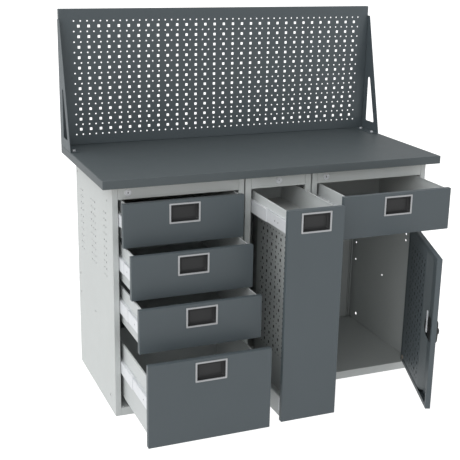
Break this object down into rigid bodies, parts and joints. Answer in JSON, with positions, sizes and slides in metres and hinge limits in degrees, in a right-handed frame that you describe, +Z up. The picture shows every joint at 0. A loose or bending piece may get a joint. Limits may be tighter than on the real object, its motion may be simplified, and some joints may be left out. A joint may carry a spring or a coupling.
{
  "type": "workbench",
  "caption": "Steel workbench with drawer, pull-out and cupboard pedestals under a clad worktop, and a perforated tool screen on gusset brackets.",
  "frame": {"origin": "on the floor, under the middle of the bench's overall length and of its depth with the drawers and the door open as pictured", "axes": "+X along the bench to the user's right, +Y from the front to the screen, +Z up"},
  "size_m": [1.28, 0.9612, 1.3596],
  "materials": {
    "worktop_paint": "matt powder coat, dark grey",
    "worktop_board": "bare board core under the steel",
    "screen_paint": "matt powder coat, dark grey",
    "front_paint": "matt powder coat, dark grey",
    "frame_paint": "fine-textured powder coat, light grey",
    "tray_paint": "fine-textured powder coat, light grey",
    "slide_zinc": "bright zinc plating",
    "handle_frame": "satin silver pull frame round a dark cup",
    "lock_metal": "nickel-plated lock barrel",
    "door_handle_plastic": "black moulded turning handle"
  },
  "bodies": {
    "bench": {"worktop_shell": "worktop_paint", "worktop_core": "worktop_board", "screen_panel": "screen_paint", "screen_bracket_left": "screen_paint", "screen_bracket_right": "screen_paint", "right_cross_rail": "frame_paint", "left_shell": "frame_paint", "left_base": "frame_paint", "left_top_rail": "frame_paint", "left_slide_frame_left": "slide_zinc", "left_slide_frame_right": "slide_zinc", "middle_shell": "frame_paint", "middle_base": "frame_paint", "middle_top_rail": "frame_paint", "middle_slide_frame_left": "slide_zinc", "middle_slide_frame_right": "slide_zinc", "right_shell": "frame_paint", "right_base": "frame_paint", "right_top_rail": "frame_paint", "right_slide_frame_left": "slide_zinc", "right_slide_frame_right": "slide_zinc"},
    "drawer_1": {"drawer_1_front": "front_paint", "drawer_1_handle": "handle_frame", "drawer_1_box": "tray_paint"},
    "drawer_1_beams": {"drawer_1_slide_left": "slide_zinc", "drawer_1_slide_right": "slide_zinc"},
    "drawer_2": {"drawer_2_front": "front_paint", "drawer_2_handle": "handle_frame", "drawer_2_box": "tray_paint"},
    "drawer_2_beams": {"drawer_2_slide_left": "slide_zinc", "drawer_2_slide_right": "slide_zinc"},
    "drawer_3": {"drawer_3_front": "front_paint", "drawer_3_handle": "handle_frame", "drawer_3_box": "tray_paint"},
    "drawer_3_beams": {"drawer_3_slide_left": "slide_zinc", "drawer_3_slide_right": "slide_zinc"},
    "drawer_4": {"drawer_4_front": "front_paint", "drawer_4_handle": "handle_frame", "drawer_4_box": "tray_paint"},
    "drawer_4_beams": {"drawer_4_slide_left": "slide_zinc", "drawer_4_slide_right": "slide_zinc"},
    "drawer_5": {"drawer_5_front": "front_paint", "drawer_5_handle": "handle_frame", "drawer_5_box": "tray_paint"},
    "drawer_5_beams": {"drawer_5_slide_left": "slide_zinc", "drawer_5_slide_right": "slide_zinc"},
    "pullout": {"pullout_front": "front_paint", "pullout_handle": "handle_frame", "pullout_top_tray": "tray_paint", "pullout_tool_panel": "tray_paint", "pullout_base_tray": "tray_paint"},
    "pullout_beams": {"pullout_slide_left": "slide_zinc", "pullout_slide_right": "slide_zinc"},
    "door": {"door_leaf": "front_paint", "door_inner_sheet": "front_paint"},
    "door_latch": {"door_handle": "door_handle_plastic", "door_cam": "slide_zinc"},
    "left_lock": {"left_lock": "lock_metal"},
    "middle_lock": {"middle_lock": "lock_metal"},
    "right_lock": {"right_lock": "lock_metal"}
  },
  "joints": [
    {"name": "drawer_1_slide", "type": "slide", "parent": "bench", "child": "drawer_1", "axis": [0, -1, 0], "range_m": [-0.054, 0.386]},
    {"name": "drawer_1_beams_slide", "type": "slide", "parent": "bench", "child": "drawer_1_beams", "axis": [0, -1, 0], "range_m": [-0.027, 0.193]},
    {"name": "drawer_2_slide", "type": "slide", "parent": "bench", "child": "drawer_2", "axis": [0, -1, 0], "range_m": [-0.142, 0.298]},
    {"name": "drawer_2_beams_slide", "type": "slide", "parent": "bench", "child": "drawer_2_beams", "axis": [0, -1, 0], "range_m": [-0.071, 0.149]},
    {"name": "drawer_3_slide", "type": "slide", "parent": "bench", "child": "drawer_3", "axis": [0, -1, 0], "range_m": [-0.224, 0.216]},
    {"name": "drawer_3_beams_slide", "type": "slide", "parent": "bench", "child": "drawer_3_beams", "axis": [0, -1, 0], "range_m": [-0.112, 0.108]},
    {"name": "drawer_4_slide", "type": "slide", "parent": "bench", "child": "drawer_4", "axis": [0, -1, 0], "range_m": [-0.315, 0.125]},
    {"name": "drawer_4_beams_slide", "type": "slide", "parent": "bench", "child": "drawer_4_beams", "axis": [0, -1, 0], "range_m": [-0.1575, 0.0625]},
    {"name": "drawer_5_slide", "type": "slide", "parent": "bench", "child": "drawer_5", "axis": [0, -1, 0], "range_m": [-0.2, 0.24]},
    {"name": "drawer_5_beams_slide", "type": "slide", "parent": "bench", "child": "drawer_5_beams", "axis": [0, -1, 0], "range_m": [-0.1, 0.12]},
    {"name": "pullout_slide", "type": "slide", "parent": "bench", "child": "pullout", "axis": [0, -1, 0], "range_m": [-0.298, 0.142]},
    {"name": "pullout_beams_slide", "type": "slide", "parent": "bench", "child": "pullout_beams", "axis": [0, -1, 0], "range_m": [-0.149, 0.071]},
    {"name": "door_hinge", "type": "hinge", "parent": "bench", "child": "door", "pos_m": [0.5722, -0.08437, 0.316], "axis": [0, 0, 1], "range_deg": [-70, 35]},
    {"name": "door_latch_turn", "type": "hinge", "parent": "door", "child": "door_latch", "pos_m": [0.45539, -0.42284, 0.316], "axis": [0.9397, -0.342, 0], "range_deg": [0, 90]},
    {"name": "left_lock_turn", "type": "hinge", "parent": "bench", "child": "left_lock", "pos_m": [-0.546, -0.09037, 0.8066], "axis": [0, 1, 0], "range_deg": [0, 90]},
    {"name": "middle_lock_turn", "type": "hinge", "parent": "bench", "child": "middle_lock", "pos_m": [0, -0.09037, 0.8066], "axis": [0, 1, 0], "range_deg": [0, 90]},
    {"name": "right_lock_turn", "type": "hinge", "parent": "bench", "child": "right_lock", "pos_m": [0.186, -0.09037, 0.8066], "axis": [0, 1, 0], "range_deg": [0, 90]}
  ],
  "couplings": [
    {"joint": "drawer_1_beams_slide", "follows": "drawer_1_slide", "ratio": 0.5},
    {"joint": "drawer_2_beams_slide", "follows": "drawer_2_slide", "ratio": 0.5},
    {"joint": "drawer_3_beams_slide", "follows": "drawer_3_slide", "ratio": 0.5},
    {"joint": "drawer_4_beams_slide", "follows": "drawer_4_slide", "ratio": 0.5},
    {"joint": "drawer_5_beams_slide", "follows": "drawer_5_slide", "ratio": 0.5},
    {"joint": "pullout_beams_slide", "follows": "pullout_slide", "ratio": 0.5}
  ]
}
